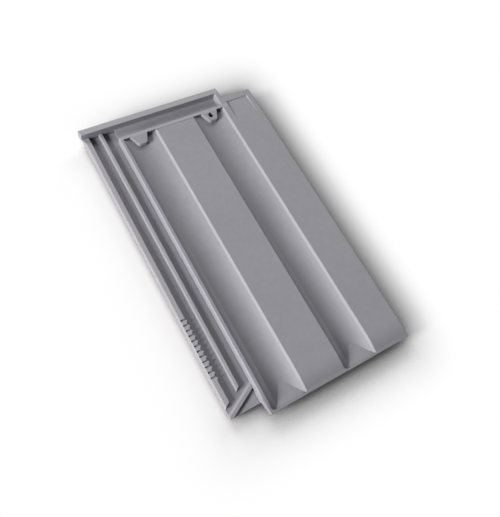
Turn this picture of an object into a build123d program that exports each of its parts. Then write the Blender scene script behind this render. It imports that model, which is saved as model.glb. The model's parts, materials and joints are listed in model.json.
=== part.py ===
from build123d import *
from math import radians, tan
import os

os.makedirs("parts", exist_ok=True)

# Overall size of the tile, lying with its weather face up and its head towards +Y
tile_length = 475.0
tile_height = 30.0
cover_width = 228.0
flap_edge_width = 4.2

# Levels below the flat plates of the weather face
body_thickness = 13.0
flap_thickness = 9.0
lock_rib_drop = 9.5
lock_floor_drop = 14.5
lock_bottom_drop = 22.0
head_channel_drop = 12.0

# The two troughs of the weather face
trough_width = 52.9
trough_step_width = 1.2
trough_step_drop = 1.3
trough_shoulder_width = 8.9
trough_crease_drop = 3.6
trough_band_width = 2.8
trough_depth_at_head = 6.0
trough_depth_at_tail = 10.0
trough_corner_radius = 3.0
trough_tail_radius = 6.5
trough_tail_gap = 1.8
trough_facet_length = 35.0
trough_facet_end_drop = 6.9
trough_facet_rise = 0.8
underside_arc_sag = 5.5

# Side lock: two ribs and two channels to the left of the bead that bounds the plates
outer_rib_width = 8.5
outer_channel_width = 14.6
inner_rib_width = 5.7
inner_channel_width = 15.5
bead_width = 5.3
bead_chamfer = 1.1
channel_draft = 0.7
rib_chamfer = 0.8
lock_edge_chamfer = 1.2
lock_tail_gap = 19.0

# Head rim, head channel and the rib that bounds the plates
rim_width = 9.0
rim_draft_angle = 3.0
rim_foot_radius = 4.0
rim_flare_length = 9.0
rim_overhang = 4.0
rim_overhang_depth = 13.0
rim_gap = 1.0
rim_end_slant = 1.5
lower_rib_width = 4.6
head_channel_width = 23.0
head_channel_draft = 1.0
head_channel_chamfer = 1.2
head_channel_length = 170.6
head_step_width = 2.7
flap_setback = 19.3
plate_groove_width = 3.0
plate_groove_depth = 0.8

# Tail edge that bends down and ends in a narrow lip
tail_bend_length = 36.0
tail_bend_pull = 15.0
tail_bend_drop = 3.8
tail_lip_length = 5.0
tail_lip_drop = 4.6
tail_side_taper = 2.8

# Tabs in the head ends of the troughs and the nail hole in the right one
tab_head_width = 27.0
tab_tail_width = 12.5
tab_length = 16.5
tab_corner_radius = 3.5
tab_draft_angle = 12.0
tab_root_depth = 8.0
tab_offsets = (24.4, 27.5)
nail_hole_radius = 2.5
nail_sink_radius = 4.5
nail_sink_depth = 2.0
nail_from_rib = 7.0

# Shallow panel sunk in the head end of the cover flap
panel_width = 37.2
panel_length = 36.0
panel_depth = 1.5
panel_draft_angle = 40.0
panel_head_margin = 9.2
panel_side_margin = 8.9

# Row of teeth on the outer rib, parted by narrow notches
notch_count = 12
notch_pitch = 7.64
notch_width = 2.0
notch_depth = 1.2
first_notch = 74.2
tooth_bulge = 1.5
tooth_bulge_length = 4.6
tooth_bulge_depth = 2.2

# Drain at the tail of the side lock
outer_rib_end = 32.5
inner_rib_end = 45.5
rib_end_slant = 0.85
drain_rib_end = 16.1
drain_rib_slope = 0.55
drain_rib_width = 5.2
drain_rib_foot = 3.4
drain_rib_rise = 2.8
drain_ledge_drop = 1.2

# Hidden underside: batten lugs, stacking feet, cover ribs and tail rib
lug_width = 34.0
lug_length = 14.0
lug_draft_angle = 8.0
foot_radius = 9.0
foot_draft_angle = 12.0
foot_from_tail = 100.0
cover_rib_width = 6.5
cover_rib_clearance = 0.7
cover_rib_start = 58.0
cover_rib_margin = 6.0
tail_rib_place = 56.0
tail_rib_width = 9.0
tail_rib_length = 158.0
tail_rib_margin = 4.9
tail_rib_drop = 24.3
head_haunch = 8.0

# Places worked out from the sizes above
tile_width = (
    rim_overhang + outer_rib_width + outer_channel_width + inner_rib_width
    + inner_channel_width / 2 + cover_width + cover_rib_width / 2 + flap_edge_width
)
tail, head = -tile_length / 2, tile_length / 2
right = tile_width / 2
rim_left = -tile_width / 2
lock_left = rim_left + rim_overhang
outer_rib_right = lock_left + outer_rib_width
inner_rib_left = outer_rib_right + outer_channel_width
inner_rib_right = inner_rib_left + inner_rib_width
body_left = inner_rib_right + inner_channel_width
bead = body_left + bead_width
rim_right = rim_left + cover_width - rim_gap
flap_left = lock_left + cover_width - rim_gap
trough_pitch = cover_width / 2
trough_lefts = (bead, bead + trough_pitch)
rim_front = head - rim_width
lower_rib_head = rim_front - head_channel_width
lower_rib_tail = lower_rib_head - lower_rib_width
flap_head = head - flap_setback
lock_tail = tail + lock_tail_gap
face = tile_height
above = face + body_thickness
rib_level = face - lock_rib_drop
floor_level = face - lock_floor_drop
channel_level = face - head_channel_drop
lock_bottom = face - lock_bottom_drop
underside = face - body_thickness
flap_underside = face - flap_thickness
bend_start = (tail + tail_bend_length, face)
bend_control = (tail + tail_bend_pull, face)
lip_top = (tail + tail_lip_length, face - tail_bend_drop)


def across(y):
    """Plane across the tile at y, with its local axes along +X and +Z."""
    return Plane(origin=(0, y, 0), x_dir=(1, 0, 0), z_dir=(0, -1, 0))


def along(x):
    """Plane along the tile at x, with its local axes along +Y and +Z."""
    return Plane(origin=(x, 0, 0), x_dir=(0, 1, 0), z_dir=(1, 0, 0))


def trough_section(y):
    """Section of one trough at y: step, sloping shoulder, round bottom and narrow band."""
    share = (lower_rib_tail - y) / (lower_rib_tail - tail)
    depth = trough_depth_at_head + (trough_depth_at_tail - trough_depth_at_head) * share
    shoulder = (trough_shoulder_width, face - trough_crease_drop)
    band = (trough_width - trough_band_width, face - trough_crease_drop)
    with BuildSketch(across(y)) as section:
        with BuildLine():
            Polyline((0, face), (trough_step_width, face - trough_step_drop), shoulder)
            ThreePointArc(shoulder, ((shoulder[0] + band[0]) / 2, face - depth), band)
            Polyline(band, (trough_width, face), (trough_width, above), (0, above), (0, face))
        make_face()
    return section.sketch


# Space that one trough takes out of the body: it follows the bend of the plates at the tail
with BuildPart() as trough_space:
    bend_section = trough_section(bend_start[0])
    loft([bend_section, trough_section(lower_rib_tail)], ruled=True)
    with BuildLine(along(0)) as bend_path:
        Bezier(bend_start, bend_control, lip_top)
        Line(lip_top, (2 * lip_top[0] - bend_control[0], 2 * lip_top[1] - bend_control[1]))
    sweep(sections=bend_section, path=bend_path.wire())

    # Rounded outline of the trough, closed by the lip at the tail
    trough_tail = tail + trough_tail_gap
    with BuildSketch(Plane.XY) as outline:
        with Locations((trough_width / 2, (trough_tail + lower_rib_tail) / 2)):
            Rectangle(trough_width, lower_rib_tail - trough_tail)
        corners = outline.vertices().sort_by(Axis.Y)
        fillet(corners[:2].sort_by(Axis.X)[0], trough_tail_radius)
        fillet(corners[2:], trough_corner_radius)
    extrude(amount=above, mode=Mode.INTERSECT)

    # Floor that rises gently to the tail
    facet_start = (tail + trough_facet_length, face - trough_depth_at_tail)
    facet_end = (tail, face - trough_facet_end_drop)
    with BuildSketch(along(0)):
        with BuildLine():
            Bezier(facet_start, (tail + trough_facet_length / 2, facet_start[1] + trough_facet_rise), facet_end)
            Polyline(facet_end, (tail, 0), (facet_start[0], 0), facet_start)
        make_face()
    extrude(amount=trough_width, mode=Mode.SUBTRACT)

# Space that the head channel takes out, with a round foot below the rim and a bevelled end
with BuildPart() as head_channel_space:
    channel_right = body_left + head_channel_length
    with BuildSketch(along(body_left)) as channel_profile:
        Polygon(
            (lower_rib_head, above),
            (lower_rib_head, face),
            (lower_rib_head + head_channel_draft, channel_level),
            (rim_front - head_channel_drop * tan(radians(rim_draft_angle)), channel_level),
            (rim_front, face),
            (rim_front, above),
        )
        rim_foot = channel_profile.vertices().group_by(Axis.Y)[0].sort_by(Axis.X)[-1]
        fillet(rim_foot, rim_foot_radius)
    extrude(amount=cover_width)
    with BuildSketch(across(head)):
        Polygon(
            (body_left, channel_level),
            (channel_right - head_channel_draft, channel_level),
            (channel_right, face - head_channel_chamfer),
            (channel_right + head_channel_chamfer, face),
            (channel_right + head_channel_chamfer, above),
            (body_left, above),
        )
    extrude(amount=head - lower_rib_tail, mode=Mode.INTERSECT)

# Space of the shallow panel in the flap, with sloping sides and a floor that fades out tailwards
with BuildPart() as panel_space:
    panel_right = right - panel_side_margin
    panel_head = flap_head - panel_head_margin
    panel_tail = panel_head - panel_length
    with BuildSketch(Plane.XY.offset(face)):
        with Locations((panel_right - panel_width / 2, (panel_head + panel_tail) / 2)):
            Rectangle(panel_width, panel_length)
    extrude(amount=-panel_depth, taper=panel_draft_angle)
    with BuildSketch(along(panel_right - panel_width)):
        Polygon((panel_tail, face), (panel_head, face - panel_depth), (panel_tail, face - panel_depth))
    extrude(amount=panel_width, mode=Mode.SUBTRACT)

# Batten lug, drafted on all four sides
with BuildPart() as lug:
    lug_run = lock_bottom * tan(radians(lug_draft_angle))
    with BuildSketch(along(-lug_width / 2)):
        Polygon(
            (0, lock_bottom), (lug_length, lock_bottom), (lug_length - lug_run, 0), (lug_run, 0)
        )
    extrude(amount=lug_width)
    with BuildSketch(across(lug_length)):
        Polygon(
            (-lug_width / 2, lock_bottom),
            (lug_width / 2, lock_bottom),
            (lug_width / 2 - lug_run, 0),
            (-lug_width / 2 + lug_run, 0),
        )
    extrude(amount=lug_length, mode=Mode.INTERSECT)

with BuildPart() as roof_tile:
    # Plates and cover flap in one section, thinner where the next tile's lock lies under it
    with BuildSketch(across(tail)):
        Polygon(
            (body_left, underside),
            (body_left, face - bead_chamfer),
            (body_left + bead_chamfer, face),
            (right - bead_chamfer, face),
            (right, face - bead_chamfer),
            (right, flap_underside),
            (flap_left, flap_underside),
            (flap_left, underside),
        )
    extrude(amount=tail - flap_head)

    # Underside that bulges down below each trough
    with BuildSketch(across(tail)):
        for x in trough_lefts:
            with BuildLine():
                ThreePointArc(
                    (x, underside),
                    (x + trough_width / 2, underside - underside_arc_sag),
                    (x + trough_width, underside),
                )
                Line((x + trough_width, underside), (x, underside))
            make_face()
    extrude(amount=tail - lower_rib_head)

    # Side lock: ribs with sloping sides and flat channel floors
    with BuildSketch(across(lock_tail)):
        Polygon(
            (lock_left, lock_bottom),
            (lock_left, rib_level - lock_edge_chamfer),
            (lock_left + lock_edge_chamfer, rib_level),
            (outer_rib_right - rib_chamfer, rib_level),
            (outer_rib_right, rib_level - rib_chamfer),
            (outer_rib_right + channel_draft, floor_level),
            (inner_rib_left - channel_draft, floor_level),
            (inner_rib_left, rib_level - rib_chamfer),
            (inner_rib_left + rib_chamfer, rib_level),
            (inner_rib_right - rib_chamfer, rib_level),
            (inner_rib_right, rib_level - rib_chamfer),
            (inner_rib_right + channel_draft, floor_level),
            (body_left, floor_level),
            (body_left, face - trough_step_drop),
            (bead, face - trough_step_drop),
            (bead, lock_bottom),
        )
    extrude(amount=lock_tail - rim_front)

    # Head block, which the rim and the head channel are cut from, haunched towards the plates
    with BuildSketch(along(bead)):
        Polygon(
            (lower_rib_tail - head_haunch, underside),
            (lower_rib_tail, lock_bottom),
            (head, lock_bottom),
            (head, face),
            (lower_rib_tail, face),
            (lower_rib_tail, underside),
        )
    extrude(amount=rim_right - bead)
    with BuildSketch(Plane.XY.offset(lock_bottom)):
        Polygon((rim_right, flap_head), (rim_right, head), (rim_right - rim_end_slant, head))
    extrude(amount=tile_height, mode=Mode.SUBTRACT)

    # Rim over the side lock: its steep wall closes the channels, and its end overhangs the lock
    rim_run = lock_floor_drop * tan(radians(rim_draft_angle))
    with BuildSketch(along(lock_left)):
        Polygon(
            (rim_front - rim_run, lock_bottom),
            (rim_front - rim_run, floor_level),
            (rim_front, face),
            (head, face),
            (head, lock_bottom),
        )
    extrude(amount=bead - lock_left)
    with BuildSketch(Plane.XY.offset(face)):
        Polygon(
            (rim_left, head),
            (lock_left + rim_overhang, head),
            (lock_left + rim_overhang, rim_front),
            (rim_left + rim_end_slant, rim_front),
        )
    extrude(amount=-rim_overhang_depth)
    with BuildSketch(Plane.XY.offset(rib_level)):
        Polygon(
            (lock_left + lock_edge_chamfer, rim_front - rim_flare_length),
            (lock_left + lock_edge_chamfer, rim_front),
            (rim_left + rim_end_slant, rim_front),
        )
    extrude(amount=lock_rib_drop - rim_overhang_depth)

    # Head channel, which runs out over a step into the inner lock channel
    add(head_channel_space.part, mode=Mode.SUBTRACT)
    with BuildSketch(Plane.XY.offset(floor_level)):
        Polygon(
            (body_left, lower_rib_head),
            (body_left + head_step_width, lower_rib_head),
            (body_left + head_step_width, rim_front - rim_run),
            (body_left, rim_front - rim_run),
        )
    extrude(amount=lock_floor_drop, mode=Mode.SUBTRACT)

    # Troughs, and the tabs that stand in their head ends
    with Locations(*[(x, 0, 0) for x in trough_lefts]):
        add(trough_space.part, mode=Mode.SUBTRACT)
    for x, offset in zip(trough_lefts, tab_offsets):
        with BuildSketch(Plane.XY.offset(face)) as tab:
            Polygon(
                (x + offset - tab_head_width / 2, lower_rib_tail + 1),
                (x + offset - tab_tail_width / 2, lower_rib_tail - tab_length),
                (x + offset + tab_tail_width / 2, lower_rib_tail - tab_length),
                (x + offset + tab_head_width / 2, lower_rib_tail + 1),
            )
            fillet(tab.vertices().group_by(Axis.Y)[0], tab_corner_radius)
        extrude(amount=-tab_root_depth, taper=-tab_draft_angle)

    # Fine groove between the lower rib and the middle plate
    with BuildSketch(along(trough_lefts[0] + trough_width)):
        Polygon(
            (lower_rib_tail - plate_groove_width, face),
            (lower_rib_tail - plate_groove_width / 2, face - plate_groove_depth),
            (lower_rib_tail, face),
        )
    extrude(amount=trough_pitch - trough_width, mode=Mode.SUBTRACT)

    # Tail edge: the plates bend down to a narrow lip
    with BuildSketch(along(body_left)):
        with BuildLine():
            Bezier(bend_start, bend_control, lip_top)
            Polyline(
                lip_top, (tail, face - tail_lip_drop), (tail, above), (bend_start[0], above), bend_start
            )
        make_face()
    extrude(amount=tile_width, mode=Mode.SUBTRACT)
    with BuildSketch(Plane.XY):
        Polygon((body_left, lock_tail), (body_left + tail_side_taper, tail), (body_left, tail))
    extrude(amount=above, mode=Mode.SUBTRACT)

    add(panel_space.part, mode=Mode.SUBTRACT)

    # Teeth on the outer rib: narrow notches, each with a bulge of the rib's side behind it
    with BuildSketch(Plane.XY.offset(rib_level)):
        for i in range(notch_count):
            y = tail + first_notch + i * notch_pitch
            with Locations((lock_left + outer_rib_width / 2 + lock_edge_chamfer, y)):
                Rectangle(outer_rib_width, notch_width)
    extrude(amount=-notch_depth, mode=Mode.SUBTRACT)
    with BuildSketch(Plane.XY.offset(rib_level)):
        for i in range(notch_count):
            y = tail + first_notch + i * notch_pitch - notch_width / 2
            Polygon(
                (outer_rib_right - tooth_bulge, y),
                (outer_rib_right + tooth_bulge / 2, y),
                (outer_rib_right + tooth_bulge, y - tooth_bulge),
                (outer_rib_right - tooth_bulge, y - tooth_bulge_length),
            )
    extrude(amount=-tooth_bulge_depth)

    # Drain at the tail of the lock: ribs cut short on the slant
    with BuildSketch(Plane.XY.offset(floor_level)):
        Polygon(
            (lock_left, lock_tail),
            (lock_left, tail + outer_rib_end),
            (outer_rib_right + tooth_bulge, tail + outer_rib_end + outer_rib_width * rib_end_slant),
            (inner_rib_left - channel_draft, tail + inner_rib_end),
            (inner_rib_right + channel_draft, tail + inner_rib_end + inner_rib_width * rib_end_slant),
            (body_left, tail + inner_rib_end),
            (body_left, lock_tail),
        )
    extrude(amount=lock_floor_drop, mode=Mode.SUBTRACT)

    # Slanting drain rib, and the ledge below it that is cut a little lower
    def drain_edge(x, offset):
        """Point on the drain rib's tail side at x, moved towards the head by the offset."""
        return (x, tail + drain_rib_end + drain_rib_slope * (x - lock_left) + offset)

    drain_start = lock_left + (lock_tail_gap - drain_rib_end) / drain_rib_slope
    with BuildSketch(Plane.XY.offset(floor_level)):
        Polygon(
            drain_edge(drain_start, 0),
            drain_edge(body_left, 0),
            drain_edge(body_left, drain_rib_width + drain_rib_foot),
            drain_edge(lock_left, drain_rib_width + drain_rib_foot),
            (lock_left, lock_tail),
        )
    with BuildSketch(Plane.XY.offset(floor_level + drain_rib_rise)):
        Polygon(
            drain_edge(drain_start, 0),
            drain_edge(body_left, 0),
            drain_edge(body_left, drain_rib_width),
            drain_edge(lock_left, drain_rib_width),
            (lock_left, lock_tail),
        )
    loft(ruled=True)
    with BuildSketch(Plane.XY.offset(floor_level)):
        Polygon(drain_edge(drain_start, 0), drain_edge(body_left, 0), (body_left, lock_tail))
    extrude(amount=-drain_ledge_drop, mode=Mode.SUBTRACT)

    # Cover ribs below the flap, which lie in the channels of the next tile's lock
    cover_rib_bottom = floor_level + cover_rib_clearance
    outer_channel_centre = (outer_rib_right + inner_rib_left) / 2
    inner_channel_centre = (inner_rib_right + body_left) / 2
    with BuildSketch(Plane.XY.offset(cover_rib_bottom)):
        for x in (outer_channel_centre, inner_channel_centre):
            y = (tail + cover_rib_start + flap_head - cover_rib_margin) / 2
            with Locations((x + cover_width, y)):
                Rectangle(cover_rib_width, flap_head - cover_rib_margin - tail - cover_rib_start)
    extrude(amount=flap_underside - cover_rib_bottom)

    # Rib across the underside of the tail, which drops into the head channel of the tile below
    tail_rib_right = channel_right - tail_rib_margin
    with BuildSketch(Plane.XY.offset(face - tail_rib_drop)):
        with Locations((tail_rib_right - tail_rib_length / 2, tail + tail_rib_place)):
            Rectangle(tail_rib_length, tail_rib_width)
    extrude(amount=tail_rib_drop - body_thickness)

    # Batten lugs below the head and stacking feet below the troughs, all reaching one level
    trough_centres = [x + trough_width / 2 for x in trough_lefts]
    with Locations(*[(x, lower_rib_head, 0) for x in trough_centres]):
        add(lug.part)
    with BuildSketch(Plane.XY.offset(underside)):
        with Locations(*[(x, tail + foot_from_tail) for x in trough_centres]):
            Circle(foot_radius)
    extrude(amount=-underside, taper=foot_draft_angle)

    # Nail hole through the right tab
    nail_x = trough_lefts[1] + tab_offsets[1]
    with Locations((nail_x, lower_rib_tail - nail_from_rib, face)):
        CounterBoreHole(nail_hole_radius, nail_sink_radius, nail_sink_depth)

roof_tile.part.label = "roof_tile"
export_step(roof_tile.part, "parts/roof_tile.step")
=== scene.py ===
import json
from math import cos, radians, sin

import bmesh
import bpy
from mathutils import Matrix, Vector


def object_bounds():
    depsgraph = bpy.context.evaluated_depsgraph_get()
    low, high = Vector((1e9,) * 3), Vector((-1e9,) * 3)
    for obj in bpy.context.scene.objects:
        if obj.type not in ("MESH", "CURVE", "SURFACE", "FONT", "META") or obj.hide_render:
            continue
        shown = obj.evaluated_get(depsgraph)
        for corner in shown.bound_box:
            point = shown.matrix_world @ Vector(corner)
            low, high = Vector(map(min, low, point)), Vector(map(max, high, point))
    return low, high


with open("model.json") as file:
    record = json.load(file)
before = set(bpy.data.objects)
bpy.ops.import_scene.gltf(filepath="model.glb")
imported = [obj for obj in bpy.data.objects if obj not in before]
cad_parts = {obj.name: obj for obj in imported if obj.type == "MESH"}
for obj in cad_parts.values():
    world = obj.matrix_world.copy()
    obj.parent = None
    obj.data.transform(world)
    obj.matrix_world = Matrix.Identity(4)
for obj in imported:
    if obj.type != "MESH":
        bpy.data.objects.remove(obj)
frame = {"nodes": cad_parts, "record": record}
cad_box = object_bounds()

# The tile: one piece of clay, pressed between two moulds and fired.
# Its weather side is sprayed with a matte grey engobe that has a faint violet tint.
# The underside stays bare, with a little overspray, and shows the brown clay of the body.
tile = frame["nodes"]["roof_tile"]
nail_hole = next(
    mount for mount in frame["record"]["mounts"] if mount["name"] == "nail_hole"
)
MM = 0.001

# Where its forms lie: across the tile on X, along it on Y, and their height on Z.
TAIL, HEAD = cad_box[0][1], cad_box[1][1]
TOP = cad_box[1][2]
BEAD = -87.5 * MM
FLAP = 92.5 * MM
TROUGH_LEFTS = (-84.4 * MM, 29.6 * MM)
TROUGH_WIDTH = 52.9 * MM
RIB_TAIL = 200.9 * MM
CHANNEL_TAIL = 206 * MM
CHANNEL_HEAD = 233 * MM
CHANNEL_DEPTH = (1 * MM, 2 * MM)
RIM_FRONT = 228.5 * MM
LOCK_RIB_TOP = 20.5 * MM
LOCK_UNDERSIDE = 8.5 * MM
PLATE_ABOVE_LOCK = 8 * MM
FLAP_ABOVE_PLATE = 4 * MM
END_FACE = 4 * MM


class Socket:
    """A value in a material that writes its own Math nodes when an expression uses it."""

    def __init__(self, shading, output):
        self.shading = shading
        self.output = output

    def _math(self, operation, first, second):
        return self.shading.value(
            "ShaderNodeMath", {"operation": operation}, {0: first, 1: second}
        )

    def __add__(self, other):
        return self._math("ADD", self, other)

    def __radd__(self, other):
        return self._math("ADD", other, self)

    def __sub__(self, other):
        return self._math("SUBTRACT", self, other)

    def __rsub__(self, other):
        return self._math("SUBTRACT", other, self)

    def __mul__(self, other):
        return self._math("MULTIPLY", self, other)

    def __rmul__(self, other):
        return self._math("MULTIPLY", other, self)

    def ramp(self, low, high):
        """Smooth rise from 0 at low to 1 at high. It falls instead where low is the larger."""
        return self.shading.value(
            "ShaderNodeMapRange",
            {"interpolation_type": "SMOOTHSTEP"},
            {"Value": self, "From Min": low, "From Max": high},
        )

    def between(self, low, high, soft=MM):
        """Share of 1 between low and high, and 0 outside, with soft ends inside that range."""
        return self.ramp(low, low + soft) * self.ramp(high, high - soft)


class Shading:
    """The node tree of one material or of the world, started from an empty sheet."""

    def __init__(self, owner):
        owner.use_nodes = True
        self.tree = owner.node_tree
        self.tree.nodes.clear()

    def node(self, kind, settings, inputs):
        """Adds a node: its settings are set first, then the values or links of its sockets."""
        node = self.tree.nodes.new(kind)
        for name, value in settings.items():
            setattr(node, name, value)
        for name, value in inputs.items():
            if isinstance(value, Socket):
                self.tree.links.new(value.output, node.inputs[name])
            else:
                node.inputs[name].default_value = value
        return node

    def value(self, kind, settings, inputs, output=0):
        """Adds a node and returns one of its outputs for use in expressions."""
        return Socket(self, self.node(kind, settings, inputs).outputs[output])

    def mixed(self, share, first, second):
        """Colour that goes from the first to the second as the share goes from 0 to 1."""
        return self.value(
            "ShaderNodeMix", {"data_type": "RGBA"}, {0: share, 6: first, 7: second}, 2
        )

    def noise(self, vector, scale, detail, roughness=0.5):
        """Cloudy value round 0, with scale as the number of clouds to the metre."""
        cloudy = self.value(
            "ShaderNodeTexNoise",
            {},
            {"Vector": vector, "Scale": scale, "Detail": detail, "Roughness": roughness},
        )
        return cloudy - 0.5


# Each pattern by its clouds to the metre, its finer levels and how rough those are.
CLOUDS = (11, 2)
MOTTLE = (120, 3)
PITS = (520, 3, 0.7)
GRAIN = (1500, 2, 0.6)


class Spot:
    """Where a point of the tile lies, how it faces and what the clay's patterns are there."""

    def __init__(self, sh):
        self.place = sh.value("ShaderNodeTexCoord", {}, {}, "Object")
        self.across, self.along, self.height = (
            sh.value("ShaderNodeSeparateXYZ", {}, {"Vector": self.place}, axis) for axis in "XYZ"
        )
        facing = sh.value("ShaderNodeTexCoord", {}, {}, "Normal")
        self.facing_up = sh.value("ShaderNodeSeparateXYZ", {}, {"Vector": facing}, "Z")
        self.clouds, self.mottle, self.pits, self.grain = (
            sh.noise(self.place, *pattern) for pattern in (CLOUDS, MOTTLE, PITS, GRAIN)
        )


# How far below a top the rubbing and the painted highlight begin, and where they are full.
TOP_REACH = (0.3 * MM, 0.1 * MM)
RUBBED_LIT_FACING = (0.5, 0.9)
LOCK_FACING = (0.8, 0.95)
EDGE_TURN = (0.02, 0.22)
EDGE_OPENNESS = (0.70, 0.92)
EDGE_PATCHES = (-0.20, 0.10)


def rubbed_and_lit_share(spot, turned, openness):
    """Paler rim and rib tops and edges: partly rubbed where they meet the tiles laid over them,
    partly painted highlight.
    """
    edges = (
        turned.ramp(*EDGE_TURN) * openness.ramp(*EDGE_OPENNESS) * spot.mottle.ramp(*EDGE_PATCHES)
    )
    begins, full = TOP_REACH
    rim_or_rib = spot.along.ramp(RIM_FRONT - MM, RIM_FRONT) + spot.along.between(
        RIB_TAIL - MM, CHANNEL_TAIL
    )
    head_tops = (
        spot.height.ramp(TOP - begins, TOP - full)
        * spot.facing_up.ramp(*RUBBED_LIT_FACING)
        * rim_or_rib
        * spot.across.ramp(FLAP, FLAP - MM)
    )
    lock_tops = (
        spot.height.ramp(LOCK_RIB_TOP - begins, LOCK_RIB_TOP - full)
        * spot.facing_up.ramp(*LOCK_FACING)
        * spot.across.ramp(BEAD, BEAD - MM)
    )
    return 1 - (1 - edges) * (1 - head_tops) * (1 - lock_tops)


ENGOBE_PALE = (0.338, 0.333, 0.360, 1.0)
ENGOBE_DEEP = (0.262, 0.257, 0.284, 1.0)
CLOUD_TONE = 0.35
MOTTLE_TONE = 0.40
GRAIN_TONE = 0.90
STREAK_TONE = 1.40
STREAK_STRETCH = (25, 900, 900)
STREAKS = (1, 2)
STREAKS_DEEPER = 0.05
TONE_RANGE = (-0.5, 0.5)


def sprayed_coat(sh, spot):
    """Engobe, even but for faint clouds, and streaked where the head channel is drawn smooth."""
    drawn = sh.value("ShaderNodeMapping", {}, {"Vector": spot.place, "Scale": STREAK_STRETCH})
    streaks = sh.noise(drawn, *STREAKS) - STREAKS_DEEPER
    in_channel = (
        spot.along.between(CHANNEL_TAIL, CHANNEL_HEAD)
        * spot.height.ramp(TOP - CHANNEL_DEPTH[0], TOP - CHANNEL_DEPTH[1])
        * spot.across.ramp(BEAD, BEAD + MM)
    )
    tone = (
        spot.clouds * CLOUD_TONE
        + spot.mottle * MOTTLE_TONE
        + spot.grain * GRAIN_TONE
        + streaks * in_channel * STREAK_TONE
    )
    return sh.mixed(tone.ramp(*TONE_RANGE), ENGOBE_DEEP, ENGOBE_PALE)


# Painted shade down the tail: where the plates bend away from the light and in each trough's low
# corner.
BEND = (TAIL + 30 * MM, TAIL + 4 * MM)
BEND_SHADE = 0.30
TROUGH_EDGE = 6 * MM
# A corner's fades across the trough are measured from the trough's left side.
CORNER_LEFT = (0, 8 * MM)
CORNER_RIGHT = (32 * MM, 12 * MM)
CORNER_TAIL = (TAIL + 5 * MM, TAIL + 20 * MM)
CORNER_HEAD = (TAIL + 70 * MM, TAIL + 26 * MM)
CORNER_LEVEL = (TOP - 2 * MM, TOP - 4 * MM)
CORNER_SHADE = 0.55


def painted_tail_shade(spot):
    """Painted shade: the coat is painted darker down the plates' bend and in the low left corner of
    each trough's tail.
    """
    shaded_bend = spot.along.ramp(*BEND)
    at_left = 0
    for left in TROUGH_LEFTS:
        from_left = spot.across - left
        shaded_bend = shaded_bend * (1 - from_left.between(0, TROUGH_WIDTH, TROUGH_EDGE))
        at_left = at_left + from_left.ramp(*CORNER_LEFT) * from_left.ramp(*CORNER_RIGHT)
    shaded_corner = (
        at_left
        * spot.along.ramp(*CORNER_TAIL)
        * spot.along.ramp(*CORNER_HEAD)
        * spot.height.ramp(*CORNER_LEVEL)
    )
    return shaded_bend * BEND_SHADE + shaded_corner * CORNER_SHADE


OVERSPRAY = 0.8
DOWN_FACING = (-0.55, -0.80)
SIDE_FACING = (0.5, 0.2)
SPRAY_EDGE = 0.3 * MM


def bare_share(spot):
    """What faces down is bare, and so are the sides of the lugs, feet and ribs below.

    The spray from above reached the walls down to the underside of the plates or the flap,
    and on the lock and the two ends down to the lock's underside.
    """
    overspray = (spot.mottle + spot.grain) * OVERSPRAY
    downward = (spot.facing_up + overspray).ramp(*DOWN_FACING)
    inside = spot.across.ramp(BEAD, BEAD + MM) * spot.along.between(TAIL + END_FACE, HEAD - END_FACE)
    under_flap = spot.across.ramp(FLAP, FLAP + MM)
    spray_line = LOCK_UNDERSIDE + inside * (PLATE_ABOVE_LOCK + under_flap * FLAP_ABOVE_PLATE)
    below_line = (spray_line + overspray * MM - spot.height).ramp(-SPRAY_EDGE, SPRAY_EDGE)
    hidden_side = spot.facing_up.ramp(*SIDE_FACING) * below_line
    return 1 - (1 - downward) * (1 - hidden_side)


HOLE_RADIUS = nail_hole["dims"]["r_mm"] * MM
HOLE_SHADE_REACH = (HOLE_RADIUS * 1.25, HOLE_RADIUS * 1.05)


def painted_hole_shade(sh, spot):
    """The nail hole is pushed through the wet clay. Its wall is painted near black as painted shade.
    """
    level_place = sh.value(
        "ShaderNodeVectorMath", {"operation": "MULTIPLY"}, {0: spot.place, 1: (1, 1, 0)}
    )
    from_hole = sh.value(
        "ShaderNodeVectorMath",
        {"operation": "DISTANCE"},
        {0: level_place, 1: (*nail_hole["pos_m"][:2], 0)},
        "Value",
    )
    return from_hole.ramp(*HOLE_SHADE_REACH)


# The colour of the painted shade, used for the tail, the creases and the upright walls.
ENGOBE_SHADED = (0.170, 0.166, 0.188, 1.0)
# Paler coat for the rubbed edges and tops, partly wear and partly painted highlight.
ENGOBE_RUBBED_LIT = (0.410, 0.406, 0.425, 1.0)
CLAY_LIGHT = (0.330, 0.165, 0.108, 1.0)
CLAY_DARK = (0.225, 0.108, 0.070, 1.0)
# Near black: painted shade inside the nail hole.
HOLE_SHADE = (0.030, 0.028, 0.030, 1.0)
EDGE_ROUNDING = 0.7 * MM
EDGE_SAMPLES = 6
CREASE_REACH = 4 * MM
CREASE_SAMPLES = 6
# Painted shade in creases and corners, where the shape closes in.
CREASE_OPENNESS = (0.80, 0.42)
CREASE_SHADE = 0.80
# Painted shade on upright walls, which are made darker than level surfaces.
UPRIGHT_FACING = (0.75, 0.25)
UPRIGHT_SHADE = 0.36
RUBBED_LIT_SHARE = 0.50
CLAY_TONE = 1.2
GRAIN_HEIGHT = 0.10 * MM
RELIEF = 0.35
GRAIN_RELIEF = 0.5
PIT_RELIEF = 0.5
BARE_PIT_RELIEF = 2
DRY_ROUGHNESS = 0.62
ROUGHNESS_SPREAD = 0.10
BARE_ROUGHER = 0.20
RUBBED_SMOOTHER = 0.08
DRY_GLOSS = 0.15


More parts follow.
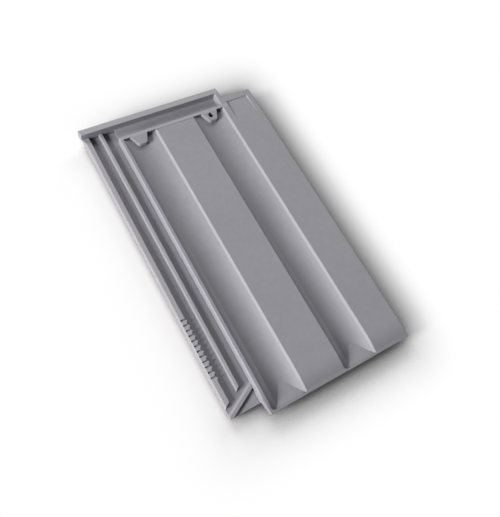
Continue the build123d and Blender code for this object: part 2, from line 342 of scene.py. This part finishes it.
def engobed_clay(material):
    """Fired clay with a matte engobe on what faces up. It is paler along its edges, partly from wear
    and partly as painted highlight, and darker in painted shade.
    """
    sh = Shading(material)
    spot = Spot(sh)

    # Edges and creases are found from the shape itself, so they stay where it has them.
    rounded = sh.value("ShaderNodeBevel", {"samples": EDGE_SAMPLES}, {"Radius": EDGE_ROUNDING})
    flat = sh.value("ShaderNodeNewGeometry", {}, {}, "True Normal")
    turned = 1 - sh.value(
        "ShaderNodeVectorMath", {"operation": "DOT_PRODUCT"}, {0: rounded, 1: flat}, "Value"
    )
    openness = sh.value(
        "ShaderNodeAmbientOcclusion",
        {"samples": CREASE_SAMPLES, "only_local": True},
        {"Distance": CREASE_REACH},
        "AO",
    )

    # Painted shade: the coat is painted darker down the tail, in creases and on upright walls. It is
    # paler where it is rubbed, partly wear and partly painted highlight.
    painted_shade_shares = (
        painted_tail_shade(spot),
        openness.ramp(*CREASE_OPENNESS) * CREASE_SHADE,
        spot.facing_up.ramp(*UPRIGHT_FACING) * UPRIGHT_SHADE,
    )
    rubbed_and_lit = rubbed_and_lit_share(spot, turned, openness)
    coat = sprayed_coat(sh, spot)
    for share in painted_shade_shares:
        coat = sh.mixed(share, coat, ENGOBE_SHADED)
    # Paler where rubbed: partly wear, partly painted highlight.
    coat = sh.mixed(rubbed_and_lit * RUBBED_LIT_SHARE, coat, ENGOBE_RUBBED_LIT)

    bare = bare_share(spot)
    clay_tone = (spot.mottle + spot.clouds) * CLAY_TONE + spot.pits
    clay = sh.mixed(clay_tone.ramp(*TONE_RANGE), CLAY_DARK, CLAY_LIGHT)
    colour = sh.mixed(bare, coat, clay)
    # Painted shade: the nail hole's wall is painted near black.
    colour = sh.mixed(painted_hole_shade(sh, spot), colour, HOLE_SHADE)

    pit_height = (spot.pits + 0.5) * (PIT_RELIEF + bare * BARE_PIT_RELIEF)
    skin = sh.value(
        "ShaderNodeBump",
        {},
        {
            "Strength": RELIEF,
            "Distance": GRAIN_HEIGHT,
            "Height": spot.grain * GRAIN_RELIEF + pit_height,
            "Normal": rounded,
        },
    )
    roughness = DRY_ROUGHNESS + (spot.mottle + spot.grain) * ROUGHNESS_SPREAD
    surface = sh.value(
        "ShaderNodeBsdfPrincipled",
        {},
        {
            "Base Color": colour,
            "Roughness": roughness + bare * BARE_ROUGHER - rubbed_and_lit * RUBBED_SMOOTHER,
            "Normal": skin,
            "Specular IOR Level": DRY_GLOSS,
        },
    )
    sh.node("ShaderNodeOutputMaterial", {}, {"Surface": surface})


tile_material = bpy.data.materials.new("engobed_clay")
engobed_clay(tile_material)
for slot in tile.material_slots:
    slot.material = tile_material

# The floor: a plain white sheet that keeps the tile's soft shadow. Close to the tile, mostly on its
# right, a painted shadow darkens the sheet's colour, which deepens what the lamps cast.
# Away from the tile it is shown as pure white, so it has no edge or horizon.
FLOOR_HALF = 4.0
SHADOW_REACH = (0.0, 0.09)
TOWARDS_TILE = (-1.3, 0.15, 1.0)
CONTACT_REACH = 0.12
CONTACT_RANGE = (0.58, 0.99)
CONTACT_SAMPLES = 8
FLOOR_WHITE = (0.98, 0.98, 0.98, 1.0)
# The colour of the painted shadow on the sheet close to the tile.
FLOOR_PAINTED_SHADOW = (0.16, 0.16, 0.16, 1.0)


def seen(sh):
    """Share of 1 for what the camera sees, directly, in a gloss or through glass."""
    path = sh.node("ShaderNodeLightPath", {}, {})
    return (
        Socket(sh, path.outputs["Is Camera Ray"])
        + Socket(sh, path.outputs["Is Glossy Ray"])
        + Socket(sh, path.outputs["Is Transmission Ray"])
    )


sheet = bmesh.new()
bmesh.ops.create_grid(sheet, x_segments=1, y_segments=1, size=FLOOR_HALF)
floor_mesh = bpy.data.meshes.new("floor")
sheet.to_mesh(floor_mesh)
sheet.free()
floor = bpy.data.objects.new("floor", floor_mesh)
bpy.context.scene.collection.objects.link(floor)

floor_material = bpy.data.materials.new("white_sheet")
paint = Shading(floor_material)
from_middle = paint.value("ShaderNodeTexCoord", {}, {}, "Object")
from_middle = paint.value("ShaderNodeVectorMath", {"operation": "ABSOLUTE"}, {0: from_middle})
beyond = paint.value(
    "ShaderNodeVectorMath",
    {"operation": "SUBTRACT"},
    {0: from_middle, 1: (*cad_box[1][:2], 0)},
)
beyond = paint.value("ShaderNodeVectorMath", {"operation": "MAXIMUM"}, {0: beyond, 1: (0, 0, 0)})
away = paint.value("ShaderNodeVectorMath", {"operation": "LENGTH"}, {0: beyond}, "Value")
towards_tile = paint.value(
    "ShaderNodeVectorMath", {"operation": "NORMALIZE"}, {0: TOWARDS_TILE}
)
shadow_openness = paint.value(
    "ShaderNodeAmbientOcclusion",
    {"samples": CONTACT_SAMPLES},
    {"Distance": CONTACT_REACH, "Normal": towards_tile},
    "AO",
)
# Painted shadow: the sheet is painted darker where the tile closes it in, mostly on its right.
sheet_with_painted_shadow = paint.mixed(shadow_openness.ramp(*CONTACT_RANGE), FLOOR_PAINTED_SHADOW, FLOOR_WHITE)
lit_sheet = paint.value("ShaderNodeBsdfDiffuse", {}, {"Color": sheet_with_painted_shadow})
white = paint.value("ShaderNodeEmission", {}, {"Strength": 1.0})
shown_white = away.ramp(*SHADOW_REACH) * seen(paint)
from_above = paint.value(
    "ShaderNodeMixShader", {}, {0: shown_white, 1: lit_sheet, 2: white}
)
from_below = paint.value("ShaderNodeNewGeometry", {}, {}, "Backfacing")
clear = paint.value("ShaderNodeBsdfTransparent", {}, {})
floor_surface = paint.value(
    "ShaderNodeMixShader", {}, {0: from_below, 1: from_above, 2: clear}
)
paint.node("ShaderNodeOutputMaterial", {}, {"Surface": floor_surface})
floor_mesh.materials.append(floor_material)

# The studio: a soft key lamp low on the left, a second one lower still beside it, and two
# broad weak lamps at the right and the head. The air itself gives almost no light.
LAMP_DISTANCE = 4.0
AIR_LIGHT = 0.03


def soft_lamp(name, azimuth, elevation, size, power):
    """Square lamp at an azimuth and elevation in degrees, turned to the middle of the tile."""
    data = bpy.data.lights.new(name, "AREA")
    data.size = size
    data.energy = power
    lamp = bpy.data.objects.new(name, data)
    reach = LAMP_DISTANCE * cos(radians(elevation))
    lamp.location = (
        reach * cos(radians(azimuth)),
        reach * sin(radians(azimuth)),
        LAMP_DISTANCE * sin(radians(elevation)),
    )
    lamp.rotation_euler = (-lamp.location).to_track_quat("-Z", "Y").to_euler()
    lamp.visible_camera = False
    bpy.context.scene.collection.objects.link(lamp)


soft_lamp("key_lamp", azimuth=181, elevation=25, size=0.9, power=158)
soft_lamp("low_lamp", azimuth=195, elevation=12, size=0.9, power=120)
soft_lamp("right_lamp", azimuth=45, elevation=28, size=2.0, power=50)
soft_lamp("head_lamp", azimuth=95, elevation=38, size=2.0, power=52)

world = bpy.data.worlds.new("studio")
bpy.context.scene.world = world
air = Shading(world)
background = air.value(
    "ShaderNodeBackground",
    {},
    {"Color": (1, 1, 1, 1), "Strength": AIR_LIGHT + (1 - AIR_LIGHT) * seen(air)},
)
air.node("ShaderNodeOutputWorld", {}, {"Surface": background})

# The camera: at the height and angle that the photograph was taken from.
# Its sensor is measured along the longer side of the picture.
CAMERA_PLACE = (-0.2949, -0.2653, 0.7368)
CAMERA_TURN = (24.992, -11.063, -29.780)
FOCAL_LENGTH = 40.14
SENSOR_WIDTH = 36.0
camera_data = bpy.data.cameras.new("camera")
camera_data.lens = FOCAL_LENGTH
camera_data.sensor_width = SENSOR_WIDTH
camera = bpy.data.objects.new("camera", camera_data)
camera.location = CAMERA_PLACE
camera.rotation_euler = [radians(turn) for turn in CAMERA_TURN]
bpy.context.scene.collection.objects.link(camera)
bpy.context.scene.camera = camera

bpy.context.scene.view_settings.view_transform = "Standard"
